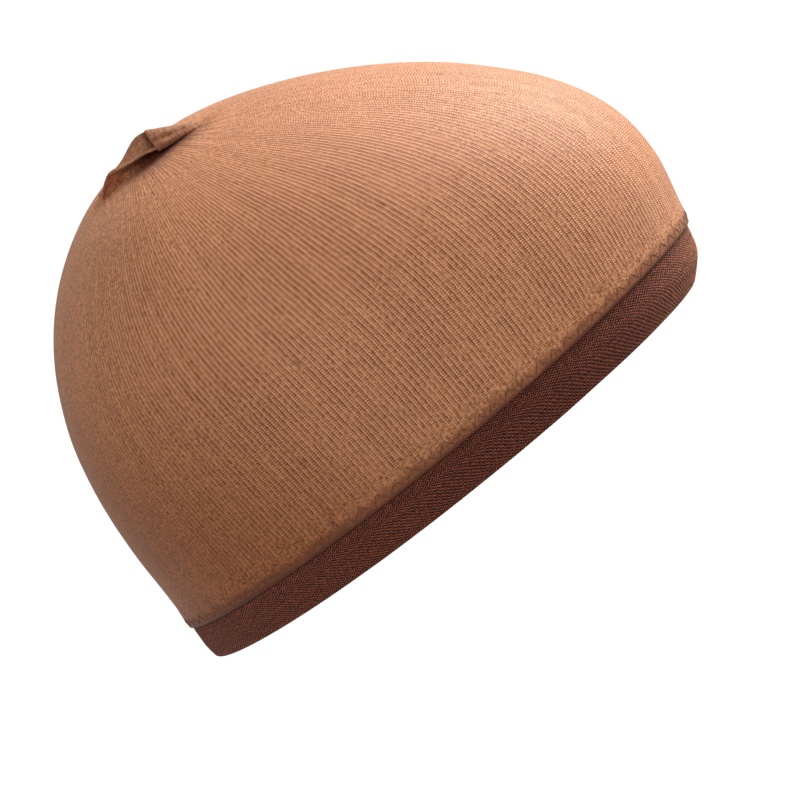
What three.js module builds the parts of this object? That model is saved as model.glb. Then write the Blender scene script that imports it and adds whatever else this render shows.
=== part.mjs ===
// Wig cap: a stretched stocking-knit crown on a wide elastic band, closed by a gathered seam at the top.
// Millimetres, +Z up as worn, the front towards -Y and the nape towards +Y.
// The origin is the middle of the rim's opening. The cap is drawn square to its rim and then tilted.
import * as THREE from 'three';

// Sizes of the whole cap, measured from the middle of the rim
const rimTilt = 38;
const capDepth = 128.4;
const frontReach = 102;
const backReach = 88.5;
const halfWidth = 75;

// Cloth, band and the gap between pieces that lie on each other
const crownWall = 1;
const bandWall = 1.2;
const bandHeight = 15.2;
const bandBite = 1.3;
const lapHeight = 3.3;
const lapSlope = 4;
const clearance = 0.3;

// Closing seam near the top of the crown, set back and to the wearer's right, and its gathers
const seamLength = 34;
const seamSetback = 13.8;
const seamOffset = 18;
const seamWidth = 6.4;
const seamHeight = 6.6;
const seamArch = 2.2;
const seamMargin = 1;
const gatherDepth = 0.55;

// Plain numbers: how full the back is against the front, and how finely the cloth is divided
const backFullness = 0.07;
const gatherCount = 18;
const wedges = 72;
const crownRings = 21;
const bandRings = 5;
const seamSides = 12;
const seamRings = 30;

// One row for each level of the cap, from the rim up. height is a share of capDepth, front, back and
// side are shares of frontReach, backReach and halfWidth, gather is a share of gatherDepth, and roll
// is how much of the way the level is carried round towards the closing seam. Near the seam a level
// is no longer flat: arch, a share of seamArch, lifts its sides above its ends.
const levelShares = [
  { height: 0.000, front: 0.866, back: 1.002, side: 0.930, arch: 0.00, gather: 0.00, roll: 0.00 },
  { height: 0.031, front: 0.906, back: 1.008, side: 0.947, arch: 0.00, gather: 0.00, roll: 0.00 },
  { height: 0.062, front: 0.934, back: 1.007, side: 0.959, arch: 0.00, gather: 0.00, roll: 0.00 },
  { height: 0.116, front: 0.952, back: 1.002, side: 0.970, arch: 0.00, gather: 0.00, roll: 0.00 },
  { height: 0.194, front: 0.978, back: 1.000, side: 0.984, arch: 0.00, gather: 0.00, roll: 0.00 },
  { height: 0.287, front: 1.000, back: 1.000, side: 0.995, arch: 0.00, gather: 0.00, roll: 0.00 },
  { height: 0.389, front: 0.994, back: 0.990, side: 1.000, arch: 0.00, gather: 0.00, roll: 0.00 },
  { height: 0.481, front: 0.956, back: 0.970, side: 0.993, arch: 0.00, gather: 0.00, roll: 0.06 },
  { height: 0.575, front: 0.884, back: 0.936, side: 0.966, arch: 0.00, gather: 0.00, roll: 0.18 },
  { height: 0.660, front: 0.789, back: 0.886, side: 0.916, arch: 0.00, gather: 0.00, roll: 0.34 },
  { height: 0.738, front: 0.684, back: 0.824, side: 0.848, arch: 0.00, gather: 0.05, roll: 0.52 },
  { height: 0.807, front: 0.568, back: 0.750, side: 0.762, arch: 0.00, gather: 0.10, roll: 0.68 },
  { height: 0.865, front: 0.450, back: 0.668, side: 0.665, arch: 0.02, gather: 0.20, roll: 0.82 },
  { height: 0.911, front: 0.338, back: 0.582, side: 0.560, arch: 0.10, gather: 0.35, roll: 0.92 },
  { height: 0.946, front: 0.236, back: 0.498, side: 0.450, arch: 0.28, gather: 0.60, roll: 0.98 },
  { height: 0.969, front: 0.152, back: 0.425, side: 0.330, arch: 0.50, gather: 0.85, roll: 1.00 },
  { height: 0.980, front: 0.090, back: 0.378, side: 0.205, arch: 0.76, gather: 1.00, roll: 1.00 },
  { height: 0.983, front: 0.058, back: 0.366, side: 0.105, arch: 0.94, gather: 0.60, roll: 1.00 },
];

// The closing seam from its nape end to its front end. height is a share of seamHeight and width of
// seamWidth. lean moves the ridge's top sideways, a share of seamWidth, where the cloth folds over.
const seamStations = [
  { along: 0.00, height: 0.10, width: 0.20, lean: 0.00 },
  { along: 0.06, height: 0.30, width: 0.55, lean: -0.08 },
  { along: 0.16, height: 0.46, width: 0.80, lean: -0.20 },
  { along: 0.29, height: 0.48, width: 0.92, lean: -0.30 },
  { along: 0.43, height: 0.68, width: 0.98, lean: -0.26 },
  { along: 0.55, height: 0.96, width: 1.00, lean: -0.14 },
  { along: 0.64, height: 1.00, width: 0.98, lean: -0.06 },
  { along: 0.72, height: 0.86, width: 0.84, lean: 0.00 },
  { along: 0.80, height: 0.74, width: 0.68, lean: 0.02 },
  { along: 0.90, height: 0.50, width: 0.52, lean: -0.02 },
  { along: 1.00, height: 0.10, width: 0.20, lean: 0.00 },
];

// Levels in millimetres. The last one is the narrow top that the closing seam sits on.
const seamHalf = seamLength / 2 + seamMargin;
const levels = levelShares.map((row) => ({
  height: row.height * capDepth,
  front: row.front * frontReach,
  back: row.back * backReach,
  side: row.side * halfWidth,
  arch: row.arch * seamArch,
  gather: row.gather * gatherDepth,
  roll: row.roll,
}));
levels.push({
  height: capDepth - seamArch,
  front: seamHalf - seamSetback,
  back: seamHalf + seamSetback,
  side: seamWidth / 2,
  arch: seamArch,
  gather: 0,
  roll: 1,
});

// The crown is close to round about this line, so turning about it keeps its shape
const rollHeight = 0.4 * capDepth;
const fullRoll = -Math.asin(seamOffset / (capDepth - rollHeight));
const rollCentre = new THREE.Vector3(0, 0, rollHeight);
const foreAndAft = new THREE.Vector3(0, 1, 0);

function rolled(point, share) {
  return point.sub(rollCentre).applyAxisAngle(foreAndAft, share * fullRoll).add(rollCentre);
}

// A smooth value between the rows of a table, at a place counted in rows
function between(rows, column, place) {
  const last = rows.length - 1;
  const index = Math.min(Math.floor(place), last - 1);
  const share = place - index;
  const value = (step) => rows[Math.min(Math.max(index + step, 0), last)][column];
  const [before, from, to, after] = [value(-1), value(0), value(1), value(2)];
  const bend = 2 * before - 5 * from + 4 * to - after;
  const turn = -before + 3 * from - 3 * to + after;
  return from + 0.5 * share * (to - before + share * (bend + share * turn));
}

// The place in a table, counted in rows, where a rising column reaches a value
function placeOf(rows, column, target) {
  let low = 0;
  let high = rows.length - 1;
  for (let halving = 0; halving < 30; halving += 1) {
    const middle = (low + high) / 2;
    if (rows[Math.floor(middle)][column] > target || between(rows, column, middle) > target) {
      high = middle;
    } else {
      low = middle;
    }
  }
  return low;
}

// A point on the crown's outer face, an oval level that is fuller at the back
function facePoint(place, angle) {
  const front = between(levels, 'front', place);
  const back = between(levels, 'back', place);
  const side = between(levels, 'side', place);
  const rise = between(levels, 'arch', place) * Math.sin(angle) ** 2;
  const point = new THREE.Vector3(
    side * Math.sin(angle) * (1 + backFullness * Math.cos(angle)),
    (back - front) / 2 + (back + front) / 2 * Math.cos(angle),
    between(levels, 'height', place) + rise,
  );
  return rolled(point, between(levels, 'roll', place));
}

// The direction out of the cloth at a point of that face
function faceNormal(place, angle) {
  const step = 0.02;
  const top = levels.length - 1;
  const upper = facePoint(Math.min(place + step, top), angle);
  const lower = facePoint(Math.max(place - step, 0), angle);
  const ahead = facePoint(place, angle + step);
  const behind = facePoint(place, angle - step);
  return upper.sub(lower).cross(ahead.sub(behind)).normalize();
}

// A ring of points round the cap at one level, offset from the outer face. Gathers ripple it.
function ring(place, offset) {
  const points = [];
  const gather = between(levels, 'gather', place);
  for (let wedge = 0; wedge < wedges; wedge += 1) {
    const angle = 2 * Math.PI * wedge / wedges;
    const ripple = gather * Math.cos(gatherCount * angle);
    points.push(facePoint(place, angle).addScaledVector(faceNormal(place, angle), offset + ripple));
  }
  return points;
}

// Closed mesh through rings that each follow the last: a loop of them, or a row closed by two lids
function meshFromRings(rings, isLoop) {
  const count = rings[0].length;
  const positions = rings.flat().flatMap((point) => [point.x, point.y, point.z]);
  const faces = [];
  for (let level = 0; level < rings.length - (isLoop ? 0 : 1); level += 1) {
    const here = level * count;
    const next = ((level + 1) % rings.length) * count;
    for (let side = 0; side < count; side += 1) {
      const turn = (side + 1) % count;
      faces.push(here + side, next + turn, here + turn);
      faces.push(here + side, next + side, next + turn);
    }
  }
  if (!isLoop) {
    faces.push(...lidFaces(0, count).reverse());
    faces.push(...lidFaces((rings.length - 1) * count, count));
  }
  const geometry = new THREE.BufferGeometry();
  geometry.setAttribute('position', new THREE.Float32BufferAttribute(positions, 3));
  geometry.setIndex(faces);
  geometry.computeVertexNormals();
  return geometry;
}

// Faces across a ring, in narrow strips from its first point to the opposite one
function lidFaces(start, count) {
  const faces = [];
  for (let strip = 0; strip < count / 2; strip += 1) {
    const right = start + strip;
    const left = start + (count - strip) % count;
    if (strip > 0) {
      faces.push(right, left, left - 1);
    }
    if (strip < count / 2 - 1) {
      faces.push(right, start + count - strip - 1, right + 1);
    }
  }
  return faces;
}

// Crown: the knit dome, whose hem stands off over the outside of the band
function crownGeometry() {
  const standOff = bandWall + clearance - bandBite;
  const slopeFoot = bandHeight + clearance;
  const hem = [
    { height: bandHeight - lapHeight, lift: 1 },
    { height: bandHeight - lapHeight / 2, lift: 1 },
    { height: slopeFoot, lift: 1 },
    { height: slopeFoot + lapSlope / 2, lift: 0.5 },
    { height: slopeFoot + lapSlope, lift: 0 },
  ];
  const hemRing = (row, offset) => (
    ring(placeOf(levels, 'height', row.height), row.lift * standOff + offset)
  );
  const outer = hem.map((row) => hemRing(row, 0));
  const inner = hem.map((row) => hemRing(row, -crownWall));
  const first = placeOf(levels, 'height', slopeFoot + lapSlope);
  const top = levels.length - 1;
  for (let step = 1; step <= crownRings; step += 1) {
    const place = first + (top - first) * step / crownRings;
    outer.push(ring(place, 0));
    inner.push(ring(place, -crownWall));
  }
  return meshFromRings([...inner.reverse(), ...outer], false);
}

// Band: the elastic ring inside the crown's hem, drawn in a little further than the crown's inner face
function bandGeometry() {
  const outer = [];
  const inner = [];
  for (let step = 0; step <= bandRings; step += 1) {
    const place = placeOf(levels, 'height', bandHeight * step / bandRings);
    const innerOffset = -crownWall - bandBite;
    outer.push(ring(place, innerOffset + bandWall));
    inner.push(ring(place, innerOffset));
  }
  return meshFromRings([...inner.reverse(), ...outer], true);
}

// Closing seam: a ridge of folded cloth, lofted along the crown's middle on a flat foot
function seamGeometry() {
  const rings = [];
  for (let step = 0; step <= seamRings; step += 1) {
    const along = step / seamRings;
    const place = placeOf(seamStations, 'along', along);
    const height = between(seamStations, 'height', place) * seamHeight;
    const width = between(seamStations, 'width', place) * seamWidth;
    const lean = between(seamStations, 'lean', place) * seamWidth;
    const fromMiddle = seamLength * (0.5 - along);
    const foot = capDepth + clearance - seamArch * (fromMiddle / seamHalf) ** 2;
    const section = [];
    for (let side = 0; side < seamSides; side += 1) {
      const angle = 2 * Math.PI * side / seamSides;
      const up = (1 - Math.cos(angle)) / 2;
      const point = new THREE.Vector3(
        lean * up - width / 2 * Math.sin(angle),
        seamSetback + fromMiddle,
        foot + height * up,
      );
      section.push(rolled(point, 1));
    }
    rings.push(section);
  }
  return meshFromRings(rings, false);
}

function piece(name, geometry, colour, roughness) {
  const material = new THREE.MeshStandardMaterial({ color: colour, roughness, metalness: 0 });
  const mesh = new THREE.Mesh(geometry, material);
  mesh.name = name;
  return mesh;
}

const cap = new THREE.Group();
cap.add(piece('crown', crownGeometry(), 0xb07d5c, 0.6));
cap.add(piece('band', bandGeometry(), 0x46221a, 0.85));
cap.add(piece('closing_seam', seamGeometry(), 0xa87655, 0.6));
cap.rotation.x = -THREE.MathUtils.degToRad(rimTilt);

export default cap;
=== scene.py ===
# %% [markdown]
# # A stretch wig cap in fine stocking knit
#
# A wig cap is a bag of thin, very stretchy knit that is worn under a wig. Ours is made of four
# things: a rounded crown of ribbed nylon knit, a wide elastic band round the rim, a line of zigzag
# stitches that joins the two, and a closing seam near the top, where the tube of knit was gathered shut.
#
# The imported model holds the crown, the band and the closing seam as plain solids of the right size. In
# this file we lay cloth where they are and give each surface its finish. We load that model first. It
# is a fixed frame: nothing in it is moved or reshaped.

# %% Load the frame
import bisect
import functools
import math
import random
from types import SimpleNamespace

import bpy
from mathutils import Matrix, Vector, noise


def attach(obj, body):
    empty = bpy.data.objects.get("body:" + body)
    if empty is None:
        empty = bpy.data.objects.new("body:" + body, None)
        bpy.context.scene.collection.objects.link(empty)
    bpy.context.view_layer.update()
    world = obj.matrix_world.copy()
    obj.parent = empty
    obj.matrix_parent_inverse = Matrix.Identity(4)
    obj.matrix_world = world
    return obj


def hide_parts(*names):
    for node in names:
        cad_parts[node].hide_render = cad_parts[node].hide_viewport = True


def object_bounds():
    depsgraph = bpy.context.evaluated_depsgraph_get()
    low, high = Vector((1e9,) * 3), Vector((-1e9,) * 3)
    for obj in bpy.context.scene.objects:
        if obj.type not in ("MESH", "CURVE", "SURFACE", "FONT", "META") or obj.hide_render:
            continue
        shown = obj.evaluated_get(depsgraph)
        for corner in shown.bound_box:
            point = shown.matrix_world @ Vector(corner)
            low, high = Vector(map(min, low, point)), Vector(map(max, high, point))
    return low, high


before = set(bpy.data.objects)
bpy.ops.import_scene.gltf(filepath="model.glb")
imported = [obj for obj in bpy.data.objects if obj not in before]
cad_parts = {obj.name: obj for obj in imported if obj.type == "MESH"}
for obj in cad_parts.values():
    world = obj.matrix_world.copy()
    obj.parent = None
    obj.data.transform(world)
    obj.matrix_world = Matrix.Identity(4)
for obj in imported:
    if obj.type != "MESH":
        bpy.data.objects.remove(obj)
cad_low, cad_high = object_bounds()
MM = 0.001
print("frame box in mm:", [round(side / MM, 1) for side in cad_high - cad_low])

# %% [markdown]
# ## The shape of the worn cap
#
# Stretched into its worn form, the cap is a stack of ovals: the rim is one, the widest part is
# another, and near the top they shrink to a narrow slot, the closing seam. We could sculpt such a form,
# but then the ribs of the knit would not know where to run. Instead we describe it by a function of two
# numbers, how far up a point is and how far round. Every rib is then a line of constant angle, and
# every row of stitches a line of constant height, as in the real cloth.
#
# The table holds one row for each oval, as shares of the cap's own sizes. Front is -Y and back is +Y.
# The ovals are drawn square to the rim, and the whole cap is tilted at the end.

# %% Sizes of the cap and its table of ovals
RIM_TILT = math.radians(38)
CAP_DEPTH = 128.4 * MM
FRONT_REACH = 102 * MM
BACK_REACH = 88.5 * MM
HALF_WIDTH = 75 * MM
BACK_FULLNESS = 0.07
BAND_HEIGHT = 15.2 * MM
LAP_HEIGHT = 3.3 * MM
SEAM_LENGTH = 34 * MM
SEAM_HALF = SEAM_LENGTH / 2 + 1 * MM
SEAM_SETBACK = 13.8 * MM
SEAM_OFFSET = 18 * MM
SEAM_WIDTH = 6.4 * MM
SEAM_ARCH = 2.2 * MM

LEVEL_COLUMNS = ("height", "front", "back", "side", "arch", "roll")
LEVEL_SHARES = [
    (0.000, 0.866, 1.002, 0.930, 0.00, 0.00),
    (0.031, 0.906, 1.008, 0.947, 0.00, 0.00),
    (0.062, 0.934, 1.007, 0.959, 0.00, 0.00),
    (0.116, 0.952, 1.002, 0.970, 0.00, 0.00),
    (0.194, 0.978, 1.000, 0.984, 0.00, 0.00),
    (0.287, 1.000, 1.000, 0.995, 0.00, 0.00),
    (0.389, 0.994, 0.990, 1.000, 0.00, 0.00),
    (0.481, 0.956, 0.970, 0.993, 0.00, 0.06),
    (0.575, 0.884, 0.936, 0.966, 0.00, 0.18),
    (0.660, 0.789, 0.886, 0.916, 0.00, 0.34),
    (0.738, 0.684, 0.824, 0.848, 0.00, 0.52),
    (0.807, 0.568, 0.750, 0.762, 0.00, 0.68),
    (0.865, 0.450, 0.668, 0.665, 0.02, 0.82),
    (0.911, 0.338, 0.582, 0.560, 0.10, 0.92),
    (0.946, 0.236, 0.498, 0.450, 0.28, 0.98),
    (0.969, 0.152, 0.425, 0.330, 0.50, 1.00),
    (0.980, 0.090, 0.378, 0.205, 0.76, 1.00),
    (0.983, 0.058, 0.366, 0.105, 0.94, 1.00),
]
LEVEL_SIZES = (CAP_DEPTH, FRONT_REACH, BACK_REACH, HALF_WIDTH, SEAM_ARCH, 1)
SLOT_LEVEL = (
    CAP_DEPTH - SEAM_ARCH,
    SEAM_HALF - SEAM_SETBACK,
    SEAM_HALF + SEAM_SETBACK,
    SEAM_WIDTH / 2,
    SEAM_ARCH,
    1,
)
levels = [tuple(share * size for share, size in zip(row, LEVEL_SIZES)) for row in LEVEL_SHARES]
levels.append(SLOT_LEVEL)
TOP_PLACE = len(levels) - 1


def smooth_value(rows, column, place):
    """A smooth value between the rows of a table, at a place counted in rows."""
    last = len(rows) - 1
    index = min(max(int(place), 0), last - 1)
    share = place - index
    before, start, end, after = (rows[min(max(index + k, 0), last)][column] for k in (-1, 0, 1, 2))
    bend = 2 * before - 5 * start + 4 * end - after
    turn = -before + 3 * start - 3 * end + after
    return start + 0.5 * share * (end - before + share * (bend + share * turn))


def row_at(rows, columns, place):
    """The smooth row of a table at a place, with its columns by name."""
    values = (smooth_value(rows, column, place) for column in range(len(columns)))
    return SimpleNamespace(**dict(zip(columns, values)))


@functools.lru_cache(maxsize=None)
def level_at(place):
    """The oval at a place in the table of ovals."""
    return row_at(levels, LEVEL_COLUMNS, place)


ROLL_CENTRE = Vector((0, 0, 0.4 * CAP_DEPTH))
FULL_ROLL = -math.asin(SEAM_OFFSET / (CAP_DEPTH - ROLL_CENTRE.z))
TILT = Matrix.Rotation(-RIM_TILT, 3, "X")


def set_in_place(point, roll):
    """Carries a point round towards the closing seam's side by a share of the full roll, then tilts it."""
    turn = Matrix.Rotation(roll * FULL_ROLL, 3, "Y")
    return TILT @ (turn @ (point - ROLL_CENTRE) + ROLL_CENTRE)


def cap_point(place, angle):
    """A point on the cap's outer face. Angle 0 is the back, and a quarter turn is the +X side."""
    level = level_at(place)
    sine, cosine = math.sin(angle), math.cos(angle)
    point = Vector((
        level.side * sine * (1 + BACK_FULLNESS * cosine),
        (level.back - level.front) / 2 + (level.back + level.front) / 2 * cosine,
        level.height + level.arch * sine * sine,
    ))
    return set_in_place(point, level.roll)


def cap_normal(place, angle, step=0.02):
    """The direction out of the cloth at a point of that face."""
    upward = cap_point(min(place + step, TOP_PLACE), angle) - cap_point(max(place - step, 0), angle)
    onward = cap_point(place, angle + step) - cap_point(place, angle - step)
    return upward.cross(onward).normalized()


def place_of_height(height):
    """The place in the table where the cap has risen to a height above the rim."""
    low, high = 0.0, TOP_PLACE - 1.0
    for _ in range(40):
        middle = (low + high) / 2
        low, high = (low, middle) if level_at(middle).height > height else (middle, high)
    return low


print("ovals:", len(levels), "highest point in mm:", round(cap_point(TOP_PLACE, 0).z / MM, 1))

# %% [markdown]
# ## A measure along the cloth
#
# The table's rows are not evenly spaced, and knitted rows are. So we walk up the cap in small steps and
# note how much cloth we have passed, averaged over several directions. From that list we can ask for
# the place at any length of cloth, and space our mesh and our stitches evenly.
#
# Round the cap it is the same: equal angles aren't equal lengths of cloth on an oval. The second half
# walks round one level, so that the ribs keep one distance all the way.

# %% Lengths up the cap
WALK_STEPS = 400
DIRECTIONS = [2 * math.pi * k / 8 for k in range(8)]
walk_places = [TOP_PLACE * step / WALK_STEPS for step in range(WALK_STEPS + 1)]
walk_lengths = [0.0]
for lower, upper in zip(walk_places, walk_places[1:]):
    parts = [(cap_point(upper, angle) - cap_point(lower, angle)).length for angle in DIRECTIONS]
    walk_lengths.append(walk_lengths[-1] + sum(parts) / len(parts))
CLOTH_LENGTH = walk_lengths[-1]


def place_at_length(length):
    """The place in the table after a length of cloth, measured up from the rim."""
    index = min(max(bisect.bisect_right(walk_lengths, length) - 1, 0), WALK_STEPS - 1)
    share = (length - walk_lengths[index]) / (walk_lengths[index + 1] - walk_lengths[index])
    return walk_places[index] + share * TOP_PLACE / WALK_STEPS


def length_at_place(place):
    """The length of cloth from the rim up to a place in the table."""
    index = min(int(place / TOP_PLACE * WALK_STEPS), WALK_STEPS - 1)
    share = place / TOP_PLACE * WALK_STEPS - index
    return walk_lengths[index] + share * (walk_lengths[index + 1] - walk_lengths[index])


ROUND_STEPS = 360


@functools.lru_cache(maxsize=None)
def ring_lengths(place):
    """Lengths of cloth round the cap at one level, from the back to each of many angles."""
    points = [cap_point(place, 2 * math.pi * step / ROUND_STEPS) for step in range(ROUND_STEPS + 1)]
    lengths = [0.0]
    for before, after in zip(points, points[1:]):
        lengths.append(lengths[-1] + (after - before).length)
    return lengths


def angle_at(place, share):
    """The angle reached after a share of the way round the cloth at one level."""
    lengths = ring_lengths(place)
    target = (share % 1) * lengths[-1]
    index = min(bisect.bisect_right(lengths, target) - 1, ROUND_STEPS - 1)
    part = (target - lengths[index]) / (lengths[index + 1] - lengths[index])
    return 2 * math.pi * (index + part) / ROUND_STEPS


def girth_at_place(place):
    """The way round the cap at a place in the table."""
    return ring_lengths(place)[-1]


WIDEST_GIRTH = max(girth_at_place(float(place)) for place in range(TOP_PLACE))
print("cloth from rim to seam in mm:", round(CLOTH_LENGTH / MM, 1))
print("widest girth in mm:", round(WIDEST_GIRTH / MM, 1))

# %% [markdown]
# ## Helpers for sheets of cloth
#
# Each sheet starts as Blender's grid primitive, which already has a UV map: a square of cloth, one unit
# each way. We then move every point of it to its place on the cap. Where the grid's two ends meet we
# merge the doubled points, and recalculate the normals before the cloth gets any thickness.

# %% Grid, wrap, merge and finish
MERGE_DISTANCE = 0.001 * MM


def deselect_all():
    bpy.ops.object.select_all(action="DESELECT")


def only(piece):
    """Makes one piece the only selected and the active one, as most operators expect."""
    deselect_all()
    piece.select_set(True)
    bpy.context.view_layer.objects.active = piece


def new_grid(name, columns, rows):
    """A flat square of cloth with so many faces across and up."""
    deselect_all()
    bpy.ops.mesh.primitive_grid_add(x_subdivisions=columns, y_subdivisions=rows, size=1, location=(0, 0, 0))
    piece = bpy.context.object
    piece.name = name
    piece.data.name = name
    return piece


def wrap(piece, position):
    """Moves each point of a flat grid to where position puts its shares across and up."""
    for vertex in piece.data.vertices:
        vertex.co = position(vertex.co.x + 0.5, vertex.co.y + 0.5)


def close_up(piece):
    """Merges points that meet, and turns all faces outwards."""
    only(piece)
    bpy.ops.object.mode_set(mode="EDIT")
    bpy.ops.mesh.select_all(action="SELECT")
    bpy.ops.mesh.remove_doubles(threshold=MERGE_DISTANCE)
    bpy.ops.mesh.normals_make_consistent(inside=False)
    bpy.ops.object.mode_set(mode="OBJECT")


def apply_modifier(piece, kind, **settings):
    """Adds a modifier with these settings and applies it at once."""
    only(piece)
    modifier = piece.modifiers.new(kind.title(), kind)
    for key, value in settings.items():
        setattr(modifier, key, value)
    bpy.ops.object.modifier_apply(modifier=modifier.name)


def smooth(piece):
    only(piece)
    bpy.ops.object.shade_smooth()


def count(piece):
    """Triangles in a piece."""
    return sum(len(face.vertices) - 2 for face in piece.data.polygons)


def eased(value, start, end):
    """0 at start and 1 at end, with a soft turn at both."""
    share = min(max((value - start) / (end - start), 0), 1)
    return share * share * (3 - 2 * share)


# %% [markdown]
# ## The crown
#
# The crown is one tube of knit. Over the band's upper edge it lies in a hem, where it stands out a little
# and eases back above it. The hem doesn't lie level: it rises towards the front, where more of the band
# shows. Towards the closing seam the cloth gathers: fine pleats fan out from the slot, deepest at its two
# ends, where the most cloth is drawn in. Beside the slot it dips into a valley before it turns up into the
# seam. Past the slot the sheet goes on upwards and closes to a line, so that seen from inside the cap the
# cloth runs up into the seam, as it does on the real one.
#
# Rows are close together at the hem and near the seam, where the form is fine, and wide apart between.

# %% Rows of the crown
CROWN_COLUMNS = 360
CROWN_THICKNESS = 0.45 * MM
HEM_ROW = 0.9 * MM
DOME_ROW = 2.3 * MM
GATHER_ROW = 0.75 * MM
HEM_ZONE = 9 * MM
GATHER_ZONE = 24 * MM
hem_start = length_at_place(place_of_height(BAND_HEIGHT - LAP_HEIGHT))
band_top = length_at_place(place_of_height(BAND_HEIGHT))


def even_steps(start, end, size):
    """Lengths from start up to, but not including, end, in equal steps of about the given size."""
    steps = max(1, round((end - start) / size))
    return [start + (end - start) * step / steps for step in range(steps)]


row_lengths = even_steps(hem_start, hem_start + HEM_ZONE, HEM_ROW)
row_lengths += even_steps(hem_start + HEM_ZONE, CLOTH_LENGTH - GATHER_ZONE, DOME_ROW)
row_lengths += even_steps(CLOTH_LENGTH - GATHER_ZONE, CLOTH_LENGTH, GATHER_ROW)
row_lengths.append(CLOTH_LENGTH)
SLOT_ROW = len(row_lengths) - 1

# The turned-up edge inside the seam: how far each row rises and how much the slot narrows
UPTURN_ROWS = [(0.3 * MM, 0.62), (0.9 * MM, 0.42), (1.6 * MM, 0.25), (2.2 * MM, 0.10), (2.4 * MM, 0.0)]
CROWN_ROWS = len(row_lengths) - 1 + len(UPTURN_ROWS)
CROWN_CLOTH = CLOTH_LENGTH + UPTURN_ROWS[-1][0]
print("rows up the crown:", CROWN_ROWS, "faces:", CROWN_ROWS * CROWN_COLUMNS)

# %% Form of the crown: hem, gathers and valley
HEM_STAND = 0.25 * MM
HEM_EASE = 4 * MM
RISE_EASE = 30 * MM
MEAN_RISE, FRONT_RISE, END_RISE = 1.0 * MM, 2.0 * MM, 0.9 * MM
PLEAT_DEPTH = 0.16 * MM
VALLEY_DEPTH = 0.7 * MM
VALLEY_PLACE = TOP_PLACE - 0.35


def hem_lift(length):
    """How far the hem stands out over the band."""
    return HEM_STAND * (1 - eased(length, band_top, band_top + HEM_EASE))


def hem_rise(angle):
    """How much the hem and the band's upper edge rise above their mean level, most at the front."""
    return MEAN_RISE - FRONT_RISE * math.cos(angle) + END_RISE * math.cos(2 * angle)


def pleats(length, angle):
    """Fine uneven pleats that fade away from the seam, strongest at its two ends."""
    nearness = eased(length, CLOTH_LENGTH - GATHER_ZONE, CLOTH_LENGTH - 0.15 * GATHER_ZONE)
    ends = 0.25 + 0.75 * math.cos(angle) ** 4
    uneven = math.cos(44 * angle + 1.3 * math.sin(5 * angle)) + 0.6 * math.cos(27 * angle + 2.1)
    return PLEAT_DEPTH * nearness * ends * uneven


def valley(place, angle):
    """The dip along both sides of the seam, deeper on the -X side, where the seam leans over it."""
    across = math.exp(-((place - VALLEY_PLACE) / 0.8) ** 2)
    forward = math.exp(-((math.cos(angle) + 0.10) / 0.65) ** 2)
    side = math.sin(angle) ** 2 * (forward if math.sin(angle) < 0 else 0.3)
    return -VALLEY_DEPTH * across * side


def rib_share(share, length):
    """How far round the cap a rib has got after a length of cloth, from its share at the rim.

    Ribs bow towards the back in the middle of each side, and crowd towards the two ends of the seam.
    """
    climb = (length - hem_start) / (CLOTH_LENGTH - hem_start)
    bow = 0.0094 * math.sin(math.pi * climb) + 0.0038 * math.sin(2 * math.pi * climb)
    crowding = 0.026 * climb**2
    return share - bow * math.sin(2 * math.pi * share) - crowding * math.sin(4 * math.pi * share)


def crown_position(across, up):
    """Where a point of the flat sheet lies on the worn crown."""
    row = round(up * CROWN_ROWS)
    length = row_lengths[min(row, SLOT_ROW)]
    place = place_at_length(length)
    angle = angle_at(place, rib_share(1 - across, length))
    if length < hem_start + RISE_EASE:
        shift = hem_rise(angle) * (1 - eased(length, hem_start, hem_start + RISE_EASE))
        place = round(place_at_length(length + shift), 3)
    if row <= SLOT_ROW:
        offset = hem_lift(length) + pleats(length, angle) + valley(place, angle)
        return cap_point(place, angle) + offset * cap_normal(place, angle)
    rise, width = UPTURN_ROWS[row - SLOT_ROW - 1]
    sine, cosine = math.sin(angle), math.cos(angle)
    half = SEAM_HALF - 0.5 * rise
    foot = CAP_DEPTH - SEAM_ARCH * cosine * cosine
    point = Vector((SEAM_WIDTH / 2 * width * sine, SEAM_SETBACK + half * cosine, foot + rise))
    return set_in_place(point, 1)


crown = new_grid("crown_knit", CROWN_COLUMNS, CROWN_ROWS)
wrap(crown, crown_position)

# %% [markdown]
# The grid's UV map still spaces the rows evenly, and the ribs of the knit stretch where the rows do. We
# set its upward share to the length of cloth instead. The knit also needs to know how wide the cap is
# at each level, so that is kept beside it as a second map: girth as a share of the widest. The map's
# other number says where the cloth lies deep under the seam, where shade is painted into its colour.

# %% Maps of the crown
GIRTH_AND_SHADE_MAP = "girth"
SHADE_REACH = 6.5 * MM
row_girths = [girth_at_place(place_at_length(length)) / WIDEST_GIRTH for length in row_lengths]
row_girths += [row_girths[-1]] * len(UPTURN_ROWS)
row_shares = [length / CROWN_CLOTH for length in row_lengths]
row_shares += [(CLOTH_LENGTH + rise) / CROWN_CLOTH for rise, _ in UPTURN_ROWS]


def painted_shade_under_seam(across, row):
    """Painted shade: 1 in the crease under the leaning side of the seam, and 0 about a centimetre away from
    it.
    """
    angle = angle_at(TOP_PLACE, rib_share(1 - across, CLOTH_LENGTH))
    if math.sin(angle) >= 0:
        return 0
    along = (1 - math.cos(angle)) / 2
    distance = CLOTH_LENGTH - row_lengths[min(row, SLOT_ROW)]
    nearness = min(1.25 * math.exp(-((distance / SHADE_REACH) ** 2)), 1)
    return nearness * eased(along, 0.16, 0.55) * (1 - eased(along, 0.78, 1.0))


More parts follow.
